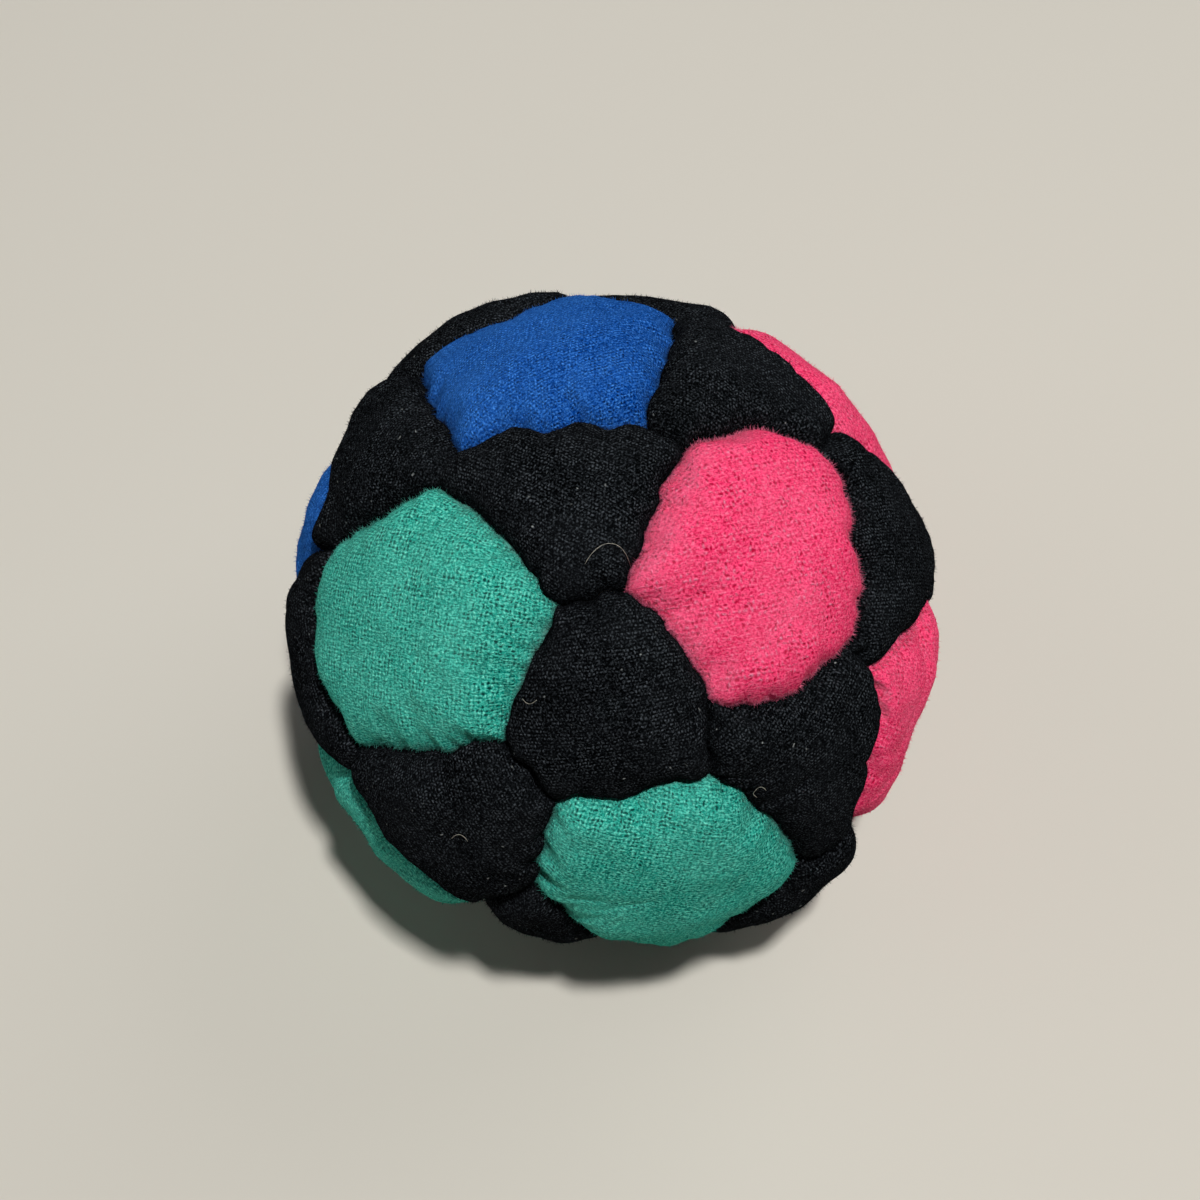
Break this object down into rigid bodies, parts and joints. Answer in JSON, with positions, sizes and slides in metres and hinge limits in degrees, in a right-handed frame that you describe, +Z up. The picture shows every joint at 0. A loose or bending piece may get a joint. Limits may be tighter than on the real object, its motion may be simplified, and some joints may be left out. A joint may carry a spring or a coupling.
{
  "type": "footbag",
  "caption": "Small round kick bag: suede pentagons and hexagons sewn into a slack ball round a sand filling.",
  "frame": {"origin": "on the surface that the bag lies on, under the middle of its plan", "axes": "+Z up from that surface, -Y towards the side that the picture was taken from, +X to its right"},
  "size_m": [0.0544, 0.0572, 0.0482],
  "materials": {
    "green_suede": "matt synthetic suede with a fine knit",
    "pink_suede": "matt synthetic suede, brushed, with a soft pale sheen",
    "blue_suede": "matt synthetic suede, brushed, with a soft pale sheen",
    "black_suede": "matt synthetic suede with stray pale fibres",
    "thread": "twisted polyester thread",
    "sand": "loose grains"
  },
  "bodies": {
    "root": {"green_panel_1": "green_suede", "green_panel_2": "green_suede", "green_panel_3": "green_suede", "green_panel_4": "green_suede", "pink_panel_1": "pink_suede", "pink_panel_2": "pink_suede", "pink_panel_3": "pink_suede", "pink_panel_4": "pink_suede", "blue_panel_1": "blue_suede", "blue_panel_2": "blue_suede", "blue_panel_3": "blue_suede", "blue_panel_4": "blue_suede", "black_panel_01": "black_suede", "black_panel_02": "black_suede", "black_panel_03": "black_suede", "black_panel_04": "black_suede", "black_panel_05": "black_suede", "black_panel_06": "black_suede", "black_panel_07": "black_suede", "black_panel_08": "black_suede", "black_panel_09": "black_suede", "black_panel_10": "black_suede", "black_panel_11": "black_suede", "black_panel_12": "black_suede", "black_panel_13": "black_suede", "black_panel_14": "black_suede", "black_panel_15": "black_suede", "black_panel_16": "black_suede", "black_panel_17": "black_suede", "black_panel_18": "black_suede", "black_panel_19": "black_suede", "black_panel_20": "black_suede", "sand_filling": "sand", "seam_thread": "thread"}
  },
  "joints": []
}
